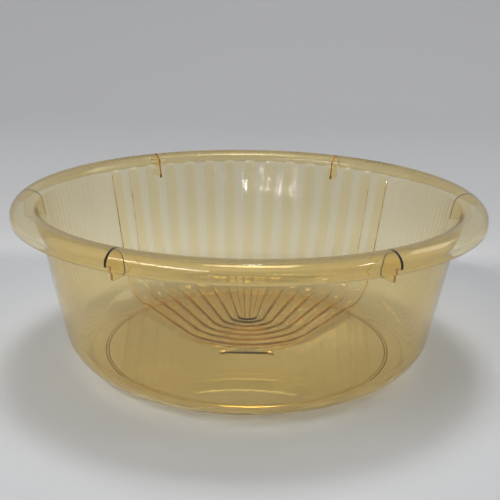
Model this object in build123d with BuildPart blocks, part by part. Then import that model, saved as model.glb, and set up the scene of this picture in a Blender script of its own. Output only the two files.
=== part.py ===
from build123d import *
import os
from math import atan, cos, degrees, radians, sin, tan

# Round wash basin with a washboard moulded into its back wall and floor.
# Millimetres, +Z up. The origin is the middle of the foot ring's underside, on the surface the basin
# stands on. The washboard is at the back, about +Y. Azimuths are degrees clockwise from +Y, seen from above.
# Every solid is one region of the moulding, and neighbours meet face to face.

# ---- driving dimensions ----
rim_radius = 200.0              # outside of the rolled rim
basin_height = 142.6            # standing surface to the top of the rim
shell_thickness = 2.2
wall_taper = 10.5               # degrees off vertical

foot_height = 1.5
foot_outer_radius = 126.8
foot_inner_radius = 123.5
heel_radius = 33.0              # outside of the rounded corner between floor and wall
heel_split = -50.0              # angle from straight outward where the corner's two rings meet

crown_half_width = 11.4         # half axes of the rim's elliptical top
crown_rise = 9.6
crown_split = 120.0             # angles round the crown where the three rim rings meet
skirt_split = 40.0
skirt_bottom = 128.2
skirt_edge_round = 0.9

web_count = 6
web_turn = -1.5                 # azimuth of the webs' pattern against the washboard's middle
web_thickness = 2.0
web_low_edge = 119.5            # the web's lower edge beside the wall
web_high_edge = 131.0           # and beside the skirt
web_step_radius = 193.0
web_step_slope = 1.2            # how far the step leans towards the wall

rib_pitch = 7.0                 # degrees between neighbouring ribs on the wall
rib_arc = 4.0                   # degrees that one rib takes up
rib_height = 1.2
rib_floor_half_width = 2.6      # half of a rib's width where it is an arc on the floor
rib_top = 134.0
board_half_angle = 53.0         # the washboard wall's half sector

turn_centre_y = 57.0            # centre of the ribs' arcs on the floor
turn_half_angle = 60.0          # how far each arc runs to either side of straight forward
turn_radii = [7.5, 15.0, 24.5, 34.5, 45.0, 56.0, 67.5]
centre_rib_end_y = turn_centre_y - turn_radii[0]

pad_height = 0.8
pad_turn_radius = 79.0          # the pad's front edge, round the same centre as the ribs
pad_half_angle = 59.0           # azimuth where the pad's edge runs into the heel
pad_reach = 137.5               # how far the pad's top runs into the heel
pad_edge = 0.7

ledge_length = 45.0
ledge_depth = 8.0
ledge_front_y = -28.5
ledge_height = 1.4

# ---- the shell's section, as radius and height ----
slope = tan(radians(wall_taper))
floor_bottom = foot_height
floor_top = foot_height + shell_thickness

crown_centre = (rim_radius - crown_half_width, basin_height - crown_rise)
under_half_width = crown_half_width - shell_thickness
under_rise = crown_rise - shell_thickness
# Angles where each ellipse runs along the wall's taper.
crown_start = 180 - degrees(atan(slope * crown_rise / crown_half_width))
under_start = 180 - degrees(atan(slope * under_rise / under_half_width))


def on_crown(angle):
    """Point on the rim's upper surface."""
    return (crown_centre[0] + crown_half_width * cos(radians(angle)),
            crown_centre[1] + crown_rise * sin(radians(angle)))


def on_underside(angle):
    """Point on the rim's lower surface."""
    return (crown_centre[0] + under_half_width * cos(radians(angle)),
            crown_centre[1] + under_rise * sin(radians(angle)))


wall_top_inside = on_crown(crown_start)
wall_top_outside = on_underside(under_start)


def wall_outside(height):
    """Radius of the wall's outer face at a height."""
    return wall_top_outside[0] - (wall_top_outside[1] - height) * slope


def wall_inside(height):
    """Radius of the wall's inner face at a height."""
    return wall_top_inside[0] - (wall_top_inside[1] - height) * slope


heel_centre_height = floor_bottom + heel_radius
heel_centre_radius = wall_outside(heel_centre_height) - heel_radius / cos(radians(wall_taper))
heel_inner_radius = heel_centre_height - floor_top


def on_heel(radius, angle):
    """Point at a distance from the heel's centre line, at an angle from straight outward."""
    return (heel_centre_radius + radius * cos(radians(angle)),
            heel_centre_height + radius * sin(radians(angle)))


def radial_plane(azimuth):
    """Plane through the basin's axis, with local x outward and local y up."""
    s = sin(radians(azimuth))
    c = cos(radians(azimuth))
    return Plane(origin=(0, 0, 0), x_dir=(s, c, 0), z_dir=(c, -s, 0))


def on_floor(radius, azimuth):
    """Point in plan at a radius and an azimuth."""
    return (radius * sin(radians(azimuth)), radius * cos(radians(azimuth)))


def on_turn(radius, azimuth):
    """Point in plan round the ribs' centre, at an azimuth from straight forward."""
    return (radius * sin(radians(azimuth)), turn_centre_y - radius * cos(radians(azimuth)))


os.makedirs("parts", exist_ok=True)


def save(piece, name):
    piece.label = name
    export_step(piece, "parts/" + name + ".step")


# ---- base ----
with BuildPart() as floor_plate:
    with BuildSketch(Plane.XY.offset(floor_bottom)):
        Circle(heel_centre_radius)
    extrude(amount=shell_thickness)
save(floor_plate.part, "floor_plate")

with BuildPart() as foot_ring:
    with BuildSketch():
        Circle(foot_outer_radius)
        Circle(foot_inner_radius, mode=Mode.SUBTRACT)
    extrude(amount=foot_height)
    chamfer(foot_ring.faces().sort_by(Axis.Z)[0].edges(), 0.4)
save(foot_ring.part, "foot_ring")

def heel_band(first, last):
    """Ring of the rounded corner, between two angles from straight outward."""
    with BuildPart() as band:
        with BuildSketch(Plane.XZ):
            with BuildLine():
                outside = CenterArc((heel_centre_radius, heel_centre_height), heel_radius, first, last - first)
                inside = CenterArc((heel_centre_radius, heel_centre_height), heel_inner_radius,
                                   first, last - first)
                Line(outside @ 0, inside @ 0)
                Line(outside @ 1, inside @ 1)
            make_face()
        revolve(axis=Axis.Z)
    return band.part


lower_heel = heel_band(-90, heel_split)
save(lower_heel, "lower_heel")
upper_heel = heel_band(heel_split, -wall_taper)
save(upper_heel, "upper_heel")


# ---- wall ----
def wall_sector(start_azimuth, sector):
    """Part of the conical wall, from an azimuth and anticlockwise."""
    with BuildPart() as sector_part:
        with BuildSketch(radial_plane(start_azimuth)):
            with BuildLine():
                Polyline(on_heel(heel_radius, -wall_taper), on_heel(heel_inner_radius, -wall_taper),
                         wall_top_inside, wall_top_outside, close=True)
            make_face()
        revolve(axis=Axis.Z, revolution_arc=sector)
    return sector_part.part


washboard_wall = wall_sector(board_half_angle, 2 * board_half_angle)
save(washboard_wall, "washboard_wall")
side_wall = wall_sector(-board_half_angle, 360 - 2 * board_half_angle)
save(side_wall, "side_wall")


# ---- rolled rim ----
def crown_arc(first, last):
    """Stretch of the rim's upper surface in section."""
    EllipticalCenterArc(crown_centre, crown_half_width, crown_rise, first, arc_size=last - first)


def underside_arc(first, last):
    """Stretch of the rim's lower surface in section."""
    EllipticalCenterArc(crown_centre, under_half_width, under_rise, first, arc_size=last - first)


def crown_ring(first, last, under_first, under_last):
    """Ring between the rim's upper and lower surfaces, from one angle of the ellipses to another."""
    with BuildPart() as ring:
        with BuildSketch(Plane.XZ):
            with BuildLine():
                crown_arc(last, first)
                underside_arc(under_last, under_first)
                Line(on_crown(first), on_underside(under_first))
                Line(on_crown(last), on_underside(under_last))
            make_face()
        revolve(axis=Axis.Z)
    return ring.part


save(crown_ring(crown_start, crown_split, under_start, crown_split), "rim_shoulder")
save(crown_ring(crown_split, skirt_split, crown_split, skirt_split), "rim_crown")

# The webs divide the rim's outer lip into equal bays.
skirt_inside = rim_radius - shell_thickness
bay = 360 / web_count
for number in range(1, web_count + 1):
    with BuildPart() as rim_skirt:
        with BuildSketch(radial_plane(web_turn + (number - 0.5) * bay)) as skirt_section:
            with BuildLine():
                crown_arc(0, skirt_split)
                underside_arc(0, skirt_split)
                Line(on_crown(skirt_split), on_underside(skirt_split))
                Polyline(on_crown(0), (rim_radius, skirt_bottom), (skirt_inside, skirt_bottom),
                         on_underside(0))
            make_face()
            fillet(skirt_section.vertices().group_by(Axis.Y)[0], skirt_edge_round)
        revolve(axis=Axis.Z, revolution_arc=bay)
    save(rim_skirt.part, f"rim_skirt_{number}")

web_arc = degrees(web_thickness / crown_centre[0])
for number in range(1, web_count + 1):
    web_azimuth = web_turn + (number - 0.5) * bay
    with BuildPart() as web:
        with BuildSketch(radial_plane(web_azimuth + web_arc / 2)):
            with BuildLine():
                underside_arc(0, under_start)
                Polyline(wall_top_outside, (wall_outside(web_low_edge), web_low_edge),
                         (web_step_radius - web_step_slope, web_low_edge),
                         (web_step_radius, web_high_edge), (skirt_inside, web_high_edge), on_underside(0))
            make_face()
        revolve(axis=Axis.Z, revolution_arc=web_arc)
    save(web.part, f"rim_web_{number}")

# ---- washboard ----
pad_outer = on_floor(pad_reach, pad_half_angle)
pad_turn = on_turn(pad_turn_radius, turn_half_angle)
with BuildPart() as washboard_pad:
    with BuildSketch(Plane.XY.offset(floor_top)):
        with BuildLine():
            Line(pad_outer, pad_turn)
            ThreePointArc(pad_turn, on_turn(pad_turn_radius, 0), (-pad_turn[0], pad_turn[1]))
            Line((-pad_turn[0], pad_turn[1]), (-pad_outer[0], pad_outer[1]))
            ThreePointArc((-pad_outer[0], pad_outer[1]), (0, pad_reach), pad_outer)
        make_face()
    extrude(amount=pad_height)
    rounded_edges = washboard_pad.faces().sort_by(Axis.Z)[-1].edges().sort_by(Axis.Y)[:-1]
    chamfer(rounded_edges, pad_edge)
    add(lower_heel, mode=Mode.SUBTRACT)
save(washboard_pad.part, "washboard_pad")

with BuildPart() as washboard_ledge:
    with BuildSketch(Plane.XY.offset(floor_top)):
        with Locations((0, ledge_front_y + ledge_depth / 2)):
            Rectangle(ledge_length, ledge_depth)
    extrude(amount=ledge_height)
    chamfer(washboard_ledge.faces().sort_by(Axis.Z)[-1].edges().sort_by(Axis.Y)[0], 0.9)
    add(washboard_pad.part, mode=Mode.SUBTRACT)
save(washboard_ledge.part, "washboard_ledge")

rib_floor_top = floor_top + pad_height + rib_height
rib_heel_radius = heel_inner_radius - rib_height
# How far a rib stands off the wall, measured level.
rib_level_reach = rib_height / cos(radians(wall_taper))


def wall_rib(azimuth):
    """A rib on the wall and the heel, centred on an azimuth."""
    with BuildPart() as rib_part:
        with BuildSketch(radial_plane(azimuth + rib_arc / 2)) as section:
            with BuildLine():
                back = CenterArc((heel_centre_radius, heel_centre_height), heel_inner_radius,
                                 -90, 90 - wall_taper)
                front = CenterArc((heel_centre_radius, heel_centre_height), rib_heel_radius,
                                  -90, 90 - wall_taper)
                Line(back @ 0, front @ 0)
                Polyline(back @ 1, (wall_inside(rib_top), rib_top),
                         (wall_inside(rib_top) - rib_level_reach, rib_top), front @ 1)
            make_face()
            fillet(section.vertices().group_by(Axis.Y)[-1].sort_by(Axis.X)[0], rib_height * 0.8)
        revolve(axis=Axis.Z, revolution_arc=rib_arc)
    return rib_part.part


def floor_edge(ring_azimuth, turn_radius):
    """One edge of a U-shaped rib in plan: in from the heel, round the turn and out again."""
    in_heel = on_floor(pad_reach, ring_azimuth)
    ring_point = on_floor(heel_centre_radius, ring_azimuth)
    turn_point = on_turn(turn_radius, turn_half_angle)
    Polyline(in_heel, ring_point, turn_point)
    ThreePointArc(turn_point, on_turn(turn_radius, 0), (-turn_point[0], turn_point[1]))
    Polyline((-turn_point[0], turn_point[1]), (-ring_point[0], ring_point[1]), (-in_heel[0], in_heel[1]))


def rib_end(middle_azimuth):
    """The arc that closes a rib's outline in plan, inside the heel."""
    ThreePointArc(on_floor(pad_reach, middle_azimuth - rib_arc / 2), on_floor(pad_reach, middle_azimuth),
                  on_floor(pad_reach, middle_azimuth + rib_arc / 2))


neighbours = [lower_heel, upper_heel, washboard_wall, washboard_pad.part]

centre_wall_rib = wall_rib(0)
with BuildPart() as centre_rib:
    with BuildSketch(Plane.XY.offset(floor_top)):
        with BuildLine():
            rib_end(0)
            Polyline(on_floor(pad_reach, rib_arc / 2), on_floor(heel_centre_radius, rib_arc / 2),
                     (rib_floor_half_width, turn_centre_y),
                     (rib_floor_half_width, centre_rib_end_y + rib_floor_half_width),
                     (-rib_floor_half_width, centre_rib_end_y + rib_floor_half_width),
                     (-rib_floor_half_width, turn_centre_y),
                     on_floor(heel_centre_radius, -rib_arc / 2), on_floor(pad_reach, -rib_arc / 2))
        make_face()
    extrude(amount=rib_floor_top - floor_top)
    add(centre_wall_rib)
    for neighbour in neighbours:
        add(neighbour, mode=Mode.SUBTRACT)

turned_ribs = []
for number, turn_radius in enumerate(turn_radii, start=1):
    azimuth = number * rib_pitch
    right_wall_rib = wall_rib(azimuth)
    left_wall_rib = wall_rib(-azimuth)
    with BuildPart() as rib:
        with BuildSketch(Plane.XY.offset(floor_top)):
            with BuildLine():
                floor_edge(azimuth + rib_arc / 2, turn_radius + rib_floor_half_width)
                floor_edge(azimuth - rib_arc / 2, turn_radius - rib_floor_half_width)
                rib_end(azimuth)
                rib_end(-azimuth)
            make_face()
        extrude(amount=rib_floor_top - floor_top)
        add(right_wall_rib)
        add(left_wall_rib)
        for neighbour in neighbours:
            add(neighbour, mode=Mode.SUBTRACT)
    turned_ribs.append(rib.part)
    save(rib.part, f"scrub_rib_{number}")

# The centre rib stops against the innermost turned rib.
with BuildPart() as trimmed_centre_rib:
    add(centre_rib.part)
    add(turned_ribs[0], mode=Mode.SUBTRACT)
save(trimmed_centre_rib.part, "scrub_rib_0")
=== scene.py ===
"""Looks of a transparent amber wash basin with a washboard moulded into its back wall and floor.

The real object is one moulding of clear plastic, so the visible model is one closed mesh that stands for
every CAD node: glass-like plastic can't have faces inside it. Metres, +Z up, the washboard towards +Y.
Azimuths are degrees clockwise from +Y, seen from above.
"""
from math import atan2, cos, degrees, pi, radians, sin, sqrt, tan

import bmesh
import bpy
from mathutils import Matrix, Vector
from mathutils.geometry import delaunay_2d_cdt


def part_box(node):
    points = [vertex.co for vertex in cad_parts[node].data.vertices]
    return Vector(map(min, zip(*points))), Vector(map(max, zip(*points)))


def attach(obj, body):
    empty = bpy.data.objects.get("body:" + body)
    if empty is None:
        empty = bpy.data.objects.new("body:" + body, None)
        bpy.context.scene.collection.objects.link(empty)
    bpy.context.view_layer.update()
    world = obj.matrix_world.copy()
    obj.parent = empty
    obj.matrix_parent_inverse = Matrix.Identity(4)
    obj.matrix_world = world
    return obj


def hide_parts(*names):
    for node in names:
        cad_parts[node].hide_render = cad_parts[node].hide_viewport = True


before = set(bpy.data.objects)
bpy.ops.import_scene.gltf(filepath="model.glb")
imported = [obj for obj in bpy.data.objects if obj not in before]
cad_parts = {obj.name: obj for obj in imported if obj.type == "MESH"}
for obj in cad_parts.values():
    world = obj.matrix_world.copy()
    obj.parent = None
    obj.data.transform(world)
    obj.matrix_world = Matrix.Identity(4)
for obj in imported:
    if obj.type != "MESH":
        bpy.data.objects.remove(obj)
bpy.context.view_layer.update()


def low(node):
    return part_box(node)[0]


def high(node):
    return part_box(node)[1]


MM = 0.001

# ---- driving dimensions, from the frame where it has them ----
RIM_RADIUS = max(high(f"rim_skirt_{n}").x for n in range(1, 7))
HEIGHT = high("rim_crown").z
SHELL = high("floor_plate").z - low("floor_plate").z
FLOOR_BOTTOM = low("floor_plate").z
FLOOR_TOP = high("floor_plate").z
FLOOR_RADIUS = high("floor_plate").x
FOOT_OUTER = high("foot_ring").x
FOOT_WIDTH = 3.3 * MM
SKIRT_BOTTOM = low("rim_skirt_1").z
SKIRT_ROUND = 0.9 * MM
WEB_LOW = low("rim_web_1").z
WEB_HIGH = 131.0 * MM
WEB_STEP_RADIUS = 193.0 * MM
WEB_STEP_SLOPE = 1.2 * MM
WEB_THICKNESS = 2.0 * MM
WEB_AZIMUTHS = [28.5 + 60 * n for n in range(6)]
PAD_TOP = high("washboard_pad").z
LEDGE_TOP = high("washboard_ledge").z
LEDGE_FRONT = low("washboard_ledge").y
LEDGE_HALF = high("washboard_ledge").x
RIB_TOP = high("scrub_rib_0").z

WALL_TAPER = 10.5               # degrees off vertical
HEEL_RADIUS = 33.0 * MM
CROWN_HALF_WIDTH = 11.4 * MM
CROWN_RISE = 9.6 * MM

RIB_PITCH = 7.0                 # degrees between ribs on the wall
RIB_HALF_ARC = 2.0
RIB_HEIGHT = 1.2 * MM
RIB_SIDE = 0.2                  # share of a rib's half width that its steep side takes up
RIB_CROWN = 0.25                # share of the height by which the crest falls before that
RIB_HALF_WIDTH = 2.6 * MM       # on the floor's arcs
RIB_END_LENGTH = 6.0 * MM       # of the rounded top end of a wall rib
TURN_Y = 57.0 * MM              # centre of the ribs' arcs on the floor
TURN_RADII = [r * MM for r in (0, 7.5, 15.0, 24.5, 34.5, 45.0, 56.0, 67.5)]
SLOPE_END = 80.7 * MM           # where the pad's edge comes down to the floor, round the same centre
SLOPE_END_AZIMUTH = 59.5
LEDGE_BACK = -20.6 * MM
PATCH_END_AZIMUTH = 61.5

slope = tan(radians(WALL_TAPER))
pad_height = PAD_TOP - FLOOR_TOP

crown_centre = (RIM_RADIUS - CROWN_HALF_WIDTH, HEIGHT - CROWN_RISE)
under_half_width = CROWN_HALF_WIDTH - SHELL
under_rise = CROWN_RISE - SHELL
crown_start = 180 - degrees(atan2(slope * CROWN_RISE, CROWN_HALF_WIDTH))
under_start = 180 - degrees(atan2(slope * under_rise, under_half_width))


def on_ellipse(half_width, rise, angle):
    return (crown_centre[0] + half_width * cos(radians(angle)),
            crown_centre[1] + rise * sin(radians(angle)))


wall_top_inside = on_ellipse(CROWN_HALF_WIDTH, CROWN_RISE, crown_start)
wall_top_outside = on_ellipse(under_half_width, under_rise, under_start)


def wall_outside(height):
    return wall_top_outside[0] - (wall_top_outside[1] - height) * slope


def wall_inside(height):
    return wall_top_inside[0] - (wall_top_inside[1] - height) * slope


heel_height = FLOOR_BOTTOM + HEEL_RADIUS
heel_r = wall_outside(heel_height) - HEEL_RADIUS / cos(radians(WALL_TAPER))
heel_inner = heel_height - FLOOR_TOP


# ---- the moulding's height field over the washboard ----
def ridge(across, along=0.0):
    """Height of a rib's section, a low crest with steep sides: across runs from 0 at its crest to 1 at its
    foot, and along from 0 to 1 over its rounded end."""
    away = min(1.0, sqrt(across * across + along * along))
    side = max(0.0, (away - 1 + RIB_SIDE) / RIB_SIDE)
    crest = 1 - RIB_CROWN * (min(away, 1 - RIB_SIDE) / (1 - RIB_SIDE)) ** 2
    return RIB_HEIGHT * crest * (1 - side * side * (3 - 2 * side))


class Line:
    """One line of the washboard's mesh: an arc round the turn's centre on the floor, straight runs out to
    the heel, and on up the wall at one azimuth."""

    def __init__(self, azimuth, radius, across, pad, chord=None):
        self.azimuth = azimuth  # where it meets the heel, and on the wall
        self.radius = radius    # of its arc on the floor
        self.across = across    # from a rib's crest, 0, to its foot, 1
        self.pad = pad          # share of the pad's height
        self.chord = chord      # y of its straight stretch in front, where it has one


STEPS = (0, 0.3, 0.55, 0.78, 0.84, 0.88, 0.92, 0.96, 1.0)    # across a rib, closest on its steep side
PAD_EDGE_SHARES = (0.06, 0.13, 0.22, 0.35, 0.5, 0.65, 0.78, 0.88, 0.95, 1.0)
LEDGE_SHARES = (0.04, 0.12, 0.5, 0.84, 0.95, 1.0, 1.25)      # 1 is the ledge's front


def washboard_lines():
    lines = []
    for number, radius in enumerate(TURN_RADII):
        sides = STEPS if number == 0 else [-s for s in reversed(STEPS)] + list(STEPS[1:])
        for across in sides:
            lines.append(Line(number * RIB_PITCH + across * RIB_HALF_ARC, radius + across * RIB_HALF_WIDTH,
                              abs(across), 1.0))
        if number + 1 < len(TURN_RADII):
            first = lines[-1]
            last_radius = TURN_RADII[number + 1] - RIB_HALF_WIDTH
            last_azimuth = (number + 1) * RIB_PITCH - RIB_HALF_ARC
            for share in (0.33, 0.67):
                lines.append(Line(first.azimuth + share * (last_azimuth - first.azimuth),
                                  first.radius + share * (last_radius - first.radius), 1.0, 1.0))
    crest = lines[-1]
    for share in PAD_EDGE_SHARES:
        fall = share * share * (3 - 2 * share)
        blend = share ** 3
        radius = crest.radius + share * (SLOPE_END - crest.radius)
        chord = TURN_Y - (radius + blend * (TURN_Y - LEDGE_BACK - SLOPE_END))
        lines.append(Line(crest.azimuth + share * (SLOPE_END_AZIMUTH - crest.azimuth), radius, 1.0, 1 - fall,
                          chord if share == 1.0 else None))
    depth = LEDGE_BACK - LEDGE_FRONT
    for share in LEDGE_SHARES:
        azimuth = SLOPE_END_AZIMUTH + (PATCH_END_AZIMUTH - SLOPE_END_AZIMUTH) * share / LEDGE_SHARES[-1]
        lines.append(Line(azimuth, SLOPE_END + share * depth, 1.0, 0.0, LEDGE_BACK - share * depth))
    return lines


lines = washboard_lines()


def line_between(azimuth):
    """A line of the washboard's mesh worked out between its neighbours."""
    number = round(azimuth / RIB_PITCH)
    across = min(1.0, abs(azimuth - number * RIB_PITCH) / RIB_HALF_ARC) if number < len(TURN_RADII) else 1.0
    after = min((l for l in lines if l.azimuth >= azimuth), key=lambda l: l.azimuth)
    before = max((l for l in lines if l.azimuth <= azimuth), key=lambda l: l.azimuth)
    share = (azimuth - before.azimuth) / (after.azimuth - before.azimuth)
    return Line(azimuth, before.radius + share * (after.radius - before.radius), across,
                before.pad + share * (after.pad - before.pad))


half_web = degrees(WEB_THICKNESS / crown_centre[0]) / 2
web_edges = [(round((web + side * half_web + 180) % 360 - 180, 6), side)
             for web in WEB_AZIMUTHS for side in (-1, 1)]
for edge in sorted({abs(edge) for edge, _ in web_edges if abs(edge) < PATCH_END_AZIMUTH}):
    lines = [l for l in lines if not 1e-9 < abs(l.azimuth - edge) < 0.1]
    lines = sorted(lines + [line_between(edge)], key=lambda l: l.azimuth)

# Directions round the turn: fine everywhere, with close pairs at the ledge's two ends.
ledge_angle = degrees(atan2(LEDGE_HALF, TURN_Y - LEDGE_BACK))
ARC = sorted({i * 2.0 for i in range(0, 31)} | {ledge_angle - 0.5, ledge_angle - 0.1, ledge_angle})
ARC = [-a for a in reversed(ARC[1:])] + ARC
RUN_SHARES = [i / 16 for i in range(1, 17)]


def ledge_height(x, y):
    inside = min((LEDGE_HALF - abs(x)) / (0.5 * MM), (LEDGE_BACK - y) / (0.3 * MM),
                 (y - LEDGE_FRONT) / (0.9 * MM), 1.0)
    return (LEDGE_TOP - FLOOR_TOP) * max(0.0, inside)


def line_points(line):
    """Points of one line over the floor, from the left end on the heel, round the front, to the right end."""
    def at(x, y, plain):
        height = line.pad * pad_height + ridge(line.across)
        if plain:
            height = max(height, ledge_height(x, y) if line.pad < 0.02 else 0.0)
            if abs(x) < RIB_HALF_WIDTH and TURN_Y - TURN_RADII[1] < y < TURN_Y:
                height = max(height, pad_height + ridge(abs(x) / RIB_HALF_WIDTH))
        return (x, y, FLOOR_TOP + height)

    arc = []
    for angle in ARC:
        radius = line.radius
        if line.chord is not None:
            radius = (TURN_Y - line.chord) / cos(radians(min(abs(angle), ledge_angle)))
        arc.append(at(radius * sin(radians(angle)), TURN_Y - radius * cos(radians(angle)), True))
    right = []
    end = arc[-1]
    ring = (FLOOR_RADIUS * sin(radians(line.azimuth)), FLOOR_RADIUS * cos(radians(line.azimuth)))
    for share in RUN_SHARES:
        right.append(at(end[0] + share * (ring[0] - end[0]), end[1] + share * (ring[1] - end[1]), False))
    left = [(-x, y, z) for x, y, z in reversed(right)]
    return left + arc + right


# ---- the section round the axis ----
board = {}
for line in lines:
    board[round(line.azimuth, 6)] = line
    board[round(-line.azimuth, 6)] = line


def azimuths():
    """Every column of the moulding's mesh, with -1 or 1 where it is one side of a web."""
    first, last = PATCH_END_AZIMUTH, 360 - PATCH_END_AZIMUTH
    count = round((last - first) / 1.5)
    found = {a: 0 for a in board}
    found.update({round(first + i * (last - first) / count, 6): 0 for i in range(1, count)})
    for edge, side in web_edges:
        edge = round(edge if edge > -first else edge + 360, 6)
        found = {a: s for a, s in found.items() if a in board or s or abs(a - edge) > 0.4}
        found[edge] = side
    return sorted(found.items())


def inner_face(line):
    """Points up the heel and the wall's inner face at one azimuth, as radius and height."""
    pad = line.pad if line else 0.0
    across = line.across if line else 1.0
    points = []
    count = 22
    for i in range(count + 1):
        angle = radians(90 - (90 - WALL_TAPER) * i / count)
        radius = heel_inner
        if pad > 0:
            pad_radius = (heel_height - FLOOR_TOP - pad * pad_height) / sin(angle)
            radius = min(heel_inner, pad_radius)
        radius -= ridge(across)
        points.append((heel_r + radius * cos(angle), heel_height - radius * sin(angle)))
    start = heel_height - heel_inner * sin(radians(WALL_TAPER))
    end_start = RIB_TOP - RIB_END_LENGTH
    heights = [start + (end_start - start) * i / 8 for i in range(1, 9)]
    heights += [end_start + RIB_END_LENGTH * s for s in (0.2, 0.4, 0.6, 0.75, 0.86, 0.94, 0.98, 1.0)]
    for height in heights:
        rise = ridge(across, max(0.0, (height - end_start) / RIB_END_LENGTH))
        points.append((wall_inside(height) - rise * cos(radians(WALL_TAPER)),
                       height + rise * sin(radians(WALL_TAPER)) * (height < end_start)))
    return points


def ellipse_points(half_width, rise, first, last, count):
    return [on_ellipse(half_width, rise, first + (last - first) * i / count) for i in range(count + 1)]


skirt_inside = RIM_RADIUS - SHELL


def rim_face():
    """Over the rim from the wall's inner face, down its outside, and round its lower edge."""
    points = ellipse_points(CROWN_HALF_WIDTH, CROWN_RISE, crown_start, 0, 34)
    middle = SKIRT_BOTTOM + SKIRT_ROUND
    points.append((RIM_RADIUS, (points[-1][1] + middle) / 2))
    for i in range(0, 6):
        angle = radians(90 * i / 5)
        points.append((RIM_RADIUS - SKIRT_ROUND + SKIRT_ROUND * cos(angle),
                       middle - SKIRT_ROUND * sin(angle)))
    for i in range(0, 6):
        angle = radians(90 * i / 5)
        points.append((skirt_inside + SKIRT_ROUND - SKIRT_ROUND * sin(angle),
                       middle - SKIRT_ROUND * cos(angle)))
    points.append((skirt_inside, WEB_HIGH))
    return points


def channel_face():
    """The rim's underside from the web's corner inside the skirt to the web's corner on the wall."""
    points = [(skirt_inside, WEB_HIGH)]
    points += ellipse_points(under_half_width, under_rise, 0, under_start, 26)
    low_corner = (wall_outside(WEB_LOW), WEB_LOW)
    for share in (0.2, 0.45, 0.72, 1.0):
        points.append((wall_top_outside[0] + share * (low_corner[0] - wall_top_outside[0]),
                       wall_top_outside[1] + share * (low_corner[1] - wall_top_outside[1])))
    return points


def web_face():
    """The web's lower edge, from the skirt to the wall."""
    return [(skirt_inside, WEB_HIGH), (WEB_STEP_RADIUS + 0.5 * MM, WEB_HIGH),
            (WEB_STEP_RADIUS, WEB_HIGH - 0.5 * MM),
            (WEB_STEP_RADIUS - WEB_STEP_SLOPE, WEB_LOW + 0.4 * MM),
            (WEB_STEP_RADIUS - WEB_STEP_SLOPE - 0.4 * MM, WEB_LOW), (wall_outside(WEB_LOW), WEB_LOW)]


def outer_face():
    """Down the wall's outside, round the heel and over the foot ring to the floor's underside."""
    points = []
    bottom = heel_height - HEEL_RADIUS * sin(radians(WALL_TAPER))
    for i in range(0, 7):
        height = WEB_LOW + (bottom - WEB_LOW) * i / 6
        points.append((wall_outside(height), height))
    count = 22
    for i in range(1, count + 1):
        angle = radians(WALL_TAPER + (90 - WALL_TAPER) * i / count)
        points.append((heel_r + HEEL_RADIUS * cos(angle), heel_height - HEEL_RADIUS * sin(angle)))
    foot_inner = FOOT_OUTER - FOOT_WIDTH
    middle = (FOOT_OUTER + foot_inner) / 2
    for i in range(0, 11):
        angle = radians(18 * i)
        points.append((middle + FOOT_WIDTH / 2 * cos(angle), FLOOR_BOTTOM * (1 - sin(angle) ** 0.7)))
    return points


def build_moulding():
    mesh = bmesh.new()
    columns = azimuths()

    def put(azimuth, point):
        a = radians(azimuth)
        return mesh.verts.new((point[0] * sin(a), point[0] * cos(a), point[1]))

    rim, channel, web, outer = rim_face(), channel_face(), web_face(), outer_face()
    grid = []
    in_web = False
    for azimuth, side in columns:
        in_web = in_web or side == -1
        inner = inner_face(board.get(azimuth))
        grid.append({"upper": [put(azimuth, p) for p in inner + rim],
                     "channel": None if in_web and not side else [put(azimuth, p) for p in channel],
                     "web": [put(azimuth, p) for p in web] if in_web else None,
                     "lower": [put(azimuth, p) for p in outer], "side": side})
        in_web = in_web and side != 1

    def strip(left, right):
        for i in range(len(left) - 1):
            mesh.faces.new((left[i], left[i + 1], right[i + 1], right[i]))

    for k, here in enumerate(grid):
        after = grid[(k + 1) % len(grid)]
        strip(here["upper"], after["upper"])
        strip(here["lower"], after["lower"])
        inside_web = here["web"] and after["web"]
        strip(*((here["web"], after["web"]) if inside_web else (here["channel"], after["channel"])))
        if here["side"]:
            # The web's side closes the step between the channel and the web's lower edge.
            loop = here["channel"] + list(reversed(here["web"]))[1:-1]
            mesh.faces.new(loop if here["side"] < 0 else list(reversed(loop)))
    mesh.faces.new([column["lower"][-1] for column in grid])

    rows = [[mesh.verts.new(p) for p in line_points(line)] for line in lines]
    for i in range(len(rows) - 1):
        strip(rows[i], rows[i + 1])

    # The rest of the floor is flat, between the washboard's patch and the heel.
    border = list(rows[-1])
    heel_ring = [column["upper"][0] for column, (azimuth, _) in zip(grid, columns)
                 if azimuth > PATCH_END_AZIMUTH + 1e-4 or azimuth < -PATCH_END_AZIMUTH - 1e-4]
    heel_ring.sort(key=lambda v: atan2(v.co.x, v.co.y) % (2 * pi))
    border += heel_ring
    _, _, triangles, _, _, _ = delaunay_2d_cdt([Vector((v.co.x, v.co.y)) for v in border],
                                               [], [list(range(len(border)))], 1, 1e-7)
    for t in triangles:
        mesh.faces.new([border[i] for i in t])

    bmesh.ops.remove_doubles(mesh, verts=mesh.verts, dist=2e-6)
    bmesh.ops.dissolve_degenerate(mesh, edges=mesh.edges, dist=1e-6)
    bmesh.ops.triangulate(mesh, faces=[f for f in mesh.faces if len(f.verts) > 4])
    bmesh.ops.recalc_face_normals(mesh, faces=mesh.faces)
    data = bpy.data.meshes.new("basin_moulding")
    mesh.to_mesh(data)
    mesh.free()
    data.shade_smooth()
    data.set_sharp_from_angle(angle=radians(42))
    piece = bpy.data.objects.new("basin_moulding", data)
    bpy.context.scene.collection.objects.link(piece)
    return piece


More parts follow.
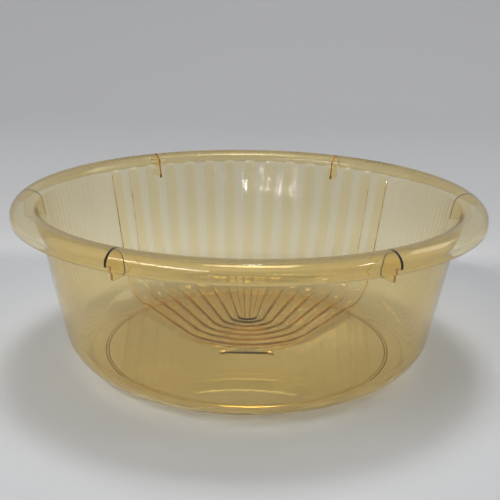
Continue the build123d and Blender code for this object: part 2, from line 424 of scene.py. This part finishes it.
# ---- materials ----
PLASTIC_IOR = 1.53
PLASTIC_TINT = (0.952, 0.748, 0.024, 1.0)   # what is left of white light, for the volume's absorption
PLASTIC_DENSITY = 210.0
PLASTIC_ROUGHNESS = (0.004, 0.03)           # where the gloss is whole, and where it is worn
WEAR_SCALE = 22.0
MARK_DEPTH = 0.0003                         # of the mould's upright marks, as bump distance
MARK_SCALE = 75.0
MARK_STRETCH = 0.9                          # along the height, against 1 radian round the basin
MARK_FADE_HEIGHTS = (0.02, 0.06)            # no marks below the first, full marks above the second
MARK_FADE_TURN = (radians(55), radians(48))  # no marks beyond the first, full marks inside the second
BACKDROP_Y = 0.235                          # where the table gives way to the paler backdrop
BACKDROP_EDGE = (-0.006, 0.05)              # the change of tone, round that place
TABLE_COLOUR = (0.575, 0.59, 0.61, 1.0)
BACKDROP_COLOUR = (0.74, 0.746, 0.752, 1.0)
TABLE_ROUGHNESS = 0.8


def node_material(name):
    material = bpy.data.materials.new(name)
    material.use_nodes = True
    return material, material.node_tree, material.node_tree.nodes["Principled BSDF"]


def add_node(tree, kind, values=(), feeds=(), operation=None):
    """A node with some sockets set and some fed by outputs, each given as (socket, value or output) pairs."""
    node = tree.nodes.new(kind)
    if operation:
        node.operation = operation
    for socket, value in values:
        node.inputs[socket].default_value = value
    for socket, output in feeds:
        tree.links.new(output, node.inputs[socket])
    return node


def draw_marks(tree, position):
    """Upright marks that the mould leaves on the washboard's wall: narrow round the basin, long in height."""
    split = add_node(tree, "ShaderNodeSeparateXYZ", feeds=[("Vector", position)])
    turn = add_node(tree, "ShaderNodeMath", feeds=[(0, split.outputs["X"]), (1, split.outputs["Y"])],
                    operation="ARCTAN2")
    height = add_node(tree, "ShaderNodeMath", [(1, MARK_STRETCH)], [(0, split.outputs["Z"])], "MULTIPLY")
    stretched = add_node(tree, "ShaderNodeCombineXYZ",
                         feeds=[("X", turn.outputs["Value"]), ("Z", height.outputs["Value"])])
    streaks = add_node(tree, "ShaderNodeTexNoise", [("Scale", MARK_SCALE), ("Detail", 2.0)],
                       [("Vector", stretched.outputs["Vector"])])
    # They fade out towards the floor, where the mould's face is polished, and beside the washboard.
    fade = add_node(tree, "ShaderNodeMapRange",
                    [("From Min", MARK_FADE_HEIGHTS[0]), ("From Max", MARK_FADE_HEIGHTS[1])],
                    [("Value", split.outputs["Z"])])
    aside = add_node(tree, "ShaderNodeMath", feeds=[(0, turn.outputs["Value"])], operation="ABSOLUTE")
    on_board = add_node(tree, "ShaderNodeMapRange",
                        [("From Min", MARK_FADE_TURN[0]), ("From Max", MARK_FADE_TURN[1])],
                        [("Value", aside.outputs["Value"])])
    where = add_node(tree, "ShaderNodeMath",
                     feeds=[(0, fade.outputs["Result"]), (1, on_board.outputs["Result"])],
                     operation="MULTIPLY")
    depth = add_node(tree, "ShaderNodeMath",
                     feeds=[(0, streaks.outputs["Fac"]), (1, where.outputs["Value"])],
                     operation="MULTIPLY")
    bump = add_node(tree, "ShaderNodeBump", [("Strength", 1.0), ("Distance", MARK_DEPTH)],
                    [("Height", depth.outputs["Value"])])
    return bump.outputs["Normal"]


def amber_plastic():
    """Clear amber plastic: glossy, with fine handling wear and the mould's faint upright marks."""
    material, tree, shader = node_material("amber_plastic")
    shader.inputs["Base Color"].default_value = (1.0, 1.0, 1.0, 1.0)
    shader.inputs["Transmission Weight"].default_value = 1.0
    shader.inputs["IOR"].default_value = PLASTIC_IOR
    place = add_node(tree, "ShaderNodeTexCoord")
    wear = add_node(tree, "ShaderNodeTexNoise", [("Scale", WEAR_SCALE), ("Detail", 4.0)],
                    [("Vector", place.outputs["Object"])])
    dull = add_node(tree, "ShaderNodeMapRange",
                    [("From Min", 0.35), ("From Max", 0.75),
                     ("To Min", PLASTIC_ROUGHNESS[0]), ("To Max", PLASTIC_ROUGHNESS[1])],
                    [("Value", wear.outputs["Fac"])])
    tree.links.new(dull.outputs["Result"], shader.inputs["Roughness"])
    tree.links.new(draw_marks(tree, place.outputs["Object"]), shader.inputs["Normal"])
    absorption = tree.nodes.new("ShaderNodeVolumeAbsorption")
    absorption.inputs["Color"].default_value = PLASTIC_TINT
    absorption.inputs["Density"].default_value = PLASTIC_DENSITY
    tree.links.new(absorption.outputs["Volume"], tree.nodes["Material Output"].inputs["Volume"])
    return material


def table_paint():
    """Plain paint for the table, turning paler behind the basin."""
    material, tree, shader = node_material("pale_table")
    shader.inputs["Roughness"].default_value = TABLE_ROUGHNESS
    place = add_node(tree, "ShaderNodeTexCoord")
    split = add_node(tree, "ShaderNodeSeparateXYZ", feeds=[("Vector", place.outputs["Object"])])
    behind = add_node(tree, "ShaderNodeMapRange",
                      [("From Min", BACKDROP_Y + BACKDROP_EDGE[0]),
                       ("From Max", BACKDROP_Y + BACKDROP_EDGE[1])],
                      [("Value", split.outputs["Y"])])
    tone = tree.nodes.new("ShaderNodeMix")
    tone.data_type = "RGBA"
    tone.inputs["A"].default_value = TABLE_COLOUR
    tone.inputs["B"].default_value = BACKDROP_COLOUR
    tree.links.new(behind.outputs["Result"], tone.inputs["Factor"])
    tree.links.new(tone.outputs["Result"], shader.inputs["Base Color"])
    return material


moulding = build_moulding()
moulding.data.materials.append(amber_plastic())
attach(moulding, "root")
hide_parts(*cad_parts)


# ---- stage ----
def stage_surface():
    """A pale table that sweeps up far behind the basin."""
    width, front, bend, rise = 6.0, -4.0, 1.3, 2.5
    radius = 0.7
    profile = [(front, 0.0), (bend, 0.0)]
    profile += [(bend + radius * sin(radians(a)), radius - radius * cos(radians(a)))
                for a in range(5, 91, 5)]
    profile.append((bend + radius, rise))
    gap = 0.3 * MM      # the table lies just under the foot ring
    verts = [(x, y, z - gap) for y, z in profile for x in (-width, width)]
    faces = [(2 * i, 2 * i + 1, 2 * i + 3, 2 * i + 2) for i in range(len(profile) - 1)]
    data = bpy.data.meshes.new("sweep")
    data.from_pydata(verts, [], faces)
    data.shade_smooth()
    piece = bpy.data.objects.new("sweep", data)
    bpy.context.scene.collection.objects.link(piece)
    data.materials.append(table_paint())


def set_world():
    """Even surroundings, dimmer behind the camera than behind the basin."""
    world = bpy.data.worlds.new("studio")
    bpy.context.scene.world = world
    world.use_nodes = True
    tree = world.node_tree
    background = tree.nodes["Background"]
    background.inputs["Strength"].default_value = 0.66
    place = add_node(tree, "ShaderNodeTexCoord")
    split = add_node(tree, "ShaderNodeSeparateXYZ", feeds=[("Vector", place.outputs["Generated"])])
    along = add_node(tree, "ShaderNodeMapRange", [("From Min", -1.0)], [("Value", split.outputs["Y"])])
    ramp = add_node(tree, "ShaderNodeValToRGB", feeds=[("Fac", along.outputs["Result"])])
    front, back = ramp.color_ramp.elements
    front.position, front.color = 0.15, (0.42, 0.42, 0.43, 1)
    back.position, back.color = 0.6, (0.95, 0.95, 0.96, 1)
    tree.links.new(ramp.outputs["Color"], background.inputs["Color"])


def set_camera():
    """The camera, a little above the rim in front, turned and rolled slightly off the basin's middle."""
    place = Vector((1.75, -704.7, 312.7)) * MM
    yaw, pitch, roll = 0.00968, radians(17.57), 0.0131
    ahead = Vector((-sin(yaw) * cos(pitch), cos(yaw) * cos(pitch), -sin(pitch)))
    right = ahead.cross(Vector((0, 0, 1))).normalized()
    up = right.cross(ahead)
    right, up = cos(roll) * right + sin(roll) * up, cos(roll) * up - sin(roll) * right
    data = bpy.data.cameras.new("camera")
    data.lens = 60.54
    data.sensor_width = 36.0
    data.shift_x = 0.0152
    camera = bpy.data.objects.new("camera", data)
    bpy.context.scene.collection.objects.link(camera)
    camera.matrix_world = Matrix.Translation(place) @ Matrix((right, up, -ahead)).transposed().to_4x4()
    bpy.context.scene.camera = camera


def soft_light_towards(name, azimuth, elevation, distance, size, radiance):
    """A rectangular lamp facing the basin's rim from a direction, as bright as asked whatever its size."""
    data = bpy.data.lights.new(name, "AREA")
    data.shape = "RECTANGLE"
    data.size, data.size_y = size
    data.energy = radiance * pi * size[0] * size[1]
    lamp = bpy.data.objects.new(name, data)
    bpy.context.scene.collection.objects.link(lamp)
    a, e = radians(azimuth), radians(elevation)
    aim = Vector((0, 0, HEIGHT))
    lamp.location = aim + distance * Vector((sin(a) * cos(e), cos(a) * cos(e), sin(e)))
    lamp.rotation_euler = (aim - lamp.location).to_track_quat("-Z", "Y").to_euler()
    return lamp


stage_surface()
set_world()
soft_light_towards("window_left", -133, 43, 2.2, (1.7, 0.10), 26)
soft_light_towards("window_right", 112, 47, 2.2, (0.3, 0.12), 26)
low_front = soft_light_towards("low_front", -165, 7, 2.6, (0.05, 0.14), 2.2)
low_front.data.spread = radians(24)     # so that it doesn't light the table near itself
soft_light_towards("ceiling", 5, 78, 2.0, (0.16, 0.08), 34)
soft_light_towards("side_right", 62, 38, 2.4, (0.9, 0.7), 1.3)
overhead = soft_light_towards("overhead", 10, 80, 1.2, (0.5, 0.5), 0.62)
overhead.data.spread = radians(34)      # a pool of light on the basin
overhead.visible_glossy = False     # lights the table through the plastic, with no broad glare on the rim
set_camera()
bpy.context.scene.view_settings.view_transform = "Standard"
# Light takes many turns inside clear plastic before it leaves.
bpy.context.scene.cycles.max_bounces = 32
bpy.context.scene.cycles.transmission_bounces = 32
